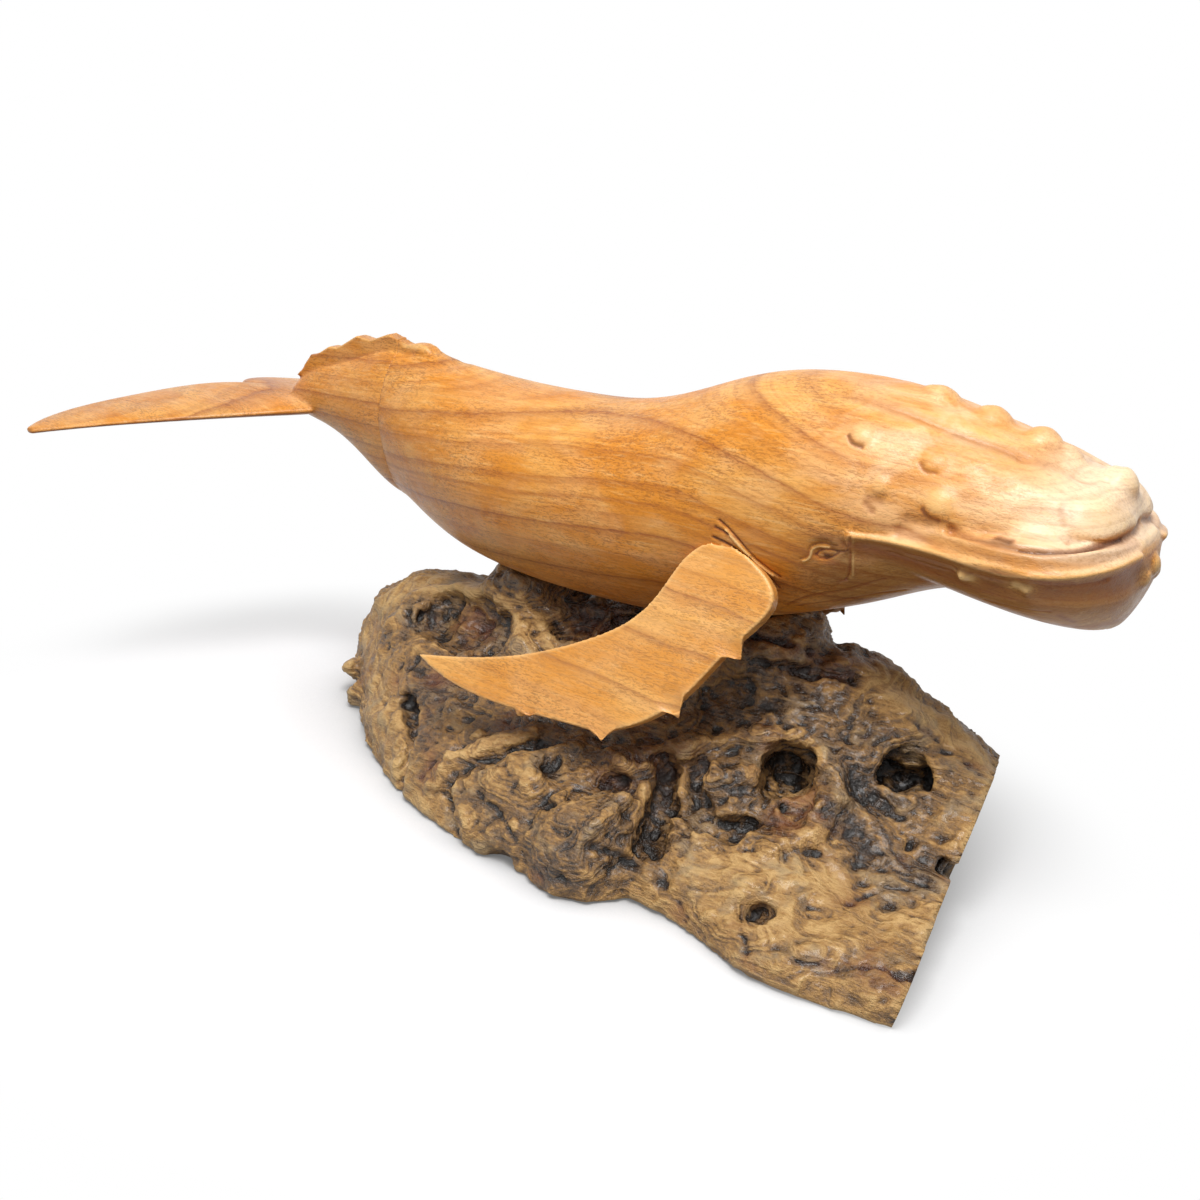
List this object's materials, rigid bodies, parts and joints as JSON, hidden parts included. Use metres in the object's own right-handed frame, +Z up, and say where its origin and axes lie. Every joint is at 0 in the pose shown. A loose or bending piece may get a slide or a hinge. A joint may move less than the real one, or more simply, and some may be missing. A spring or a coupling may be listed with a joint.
{
  "type": "whale figurine",
  "caption": "Carved wooden humpback whale with knobbed head, long flippers and spread flukes, mounted over a rugged driftwood root base",
  "frame": {"origin": "on the flat underside of the driftwood base, on the surface that it stands on, below the whale's middle plane", "axes": "+X from the flukes to the head, +Z up, so -Y is the whale's right side, the one in the picture"},
  "size_m": [0.3847, 0.1698, 0.144],
  "materials": {
    "whale_wood": "satin varnish",
    "tail_wood": "satin varnish",
    "flipper_wood": "satin varnish",
    "root_wood": "weathered wood under clear varnish",
    "dowel_wood": "plain wood",
    "screw_steel": "zinc plated"
  },
  "bodies": {
    "root": {"whale_body": "whale_wood", "tail_flukes": "tail_wood", "right_flipper": "flipper_wood", "left_flipper": "flipper_wood", "driftwood_base": "root_wood", "tail_dowel": "dowel_wood", "right_flipper_pin": "dowel_wood", "left_flipper_pin": "dowel_wood", "front_screw": "screw_steel", "rear_screw": "screw_steel"}
  },
  "joints": []
}
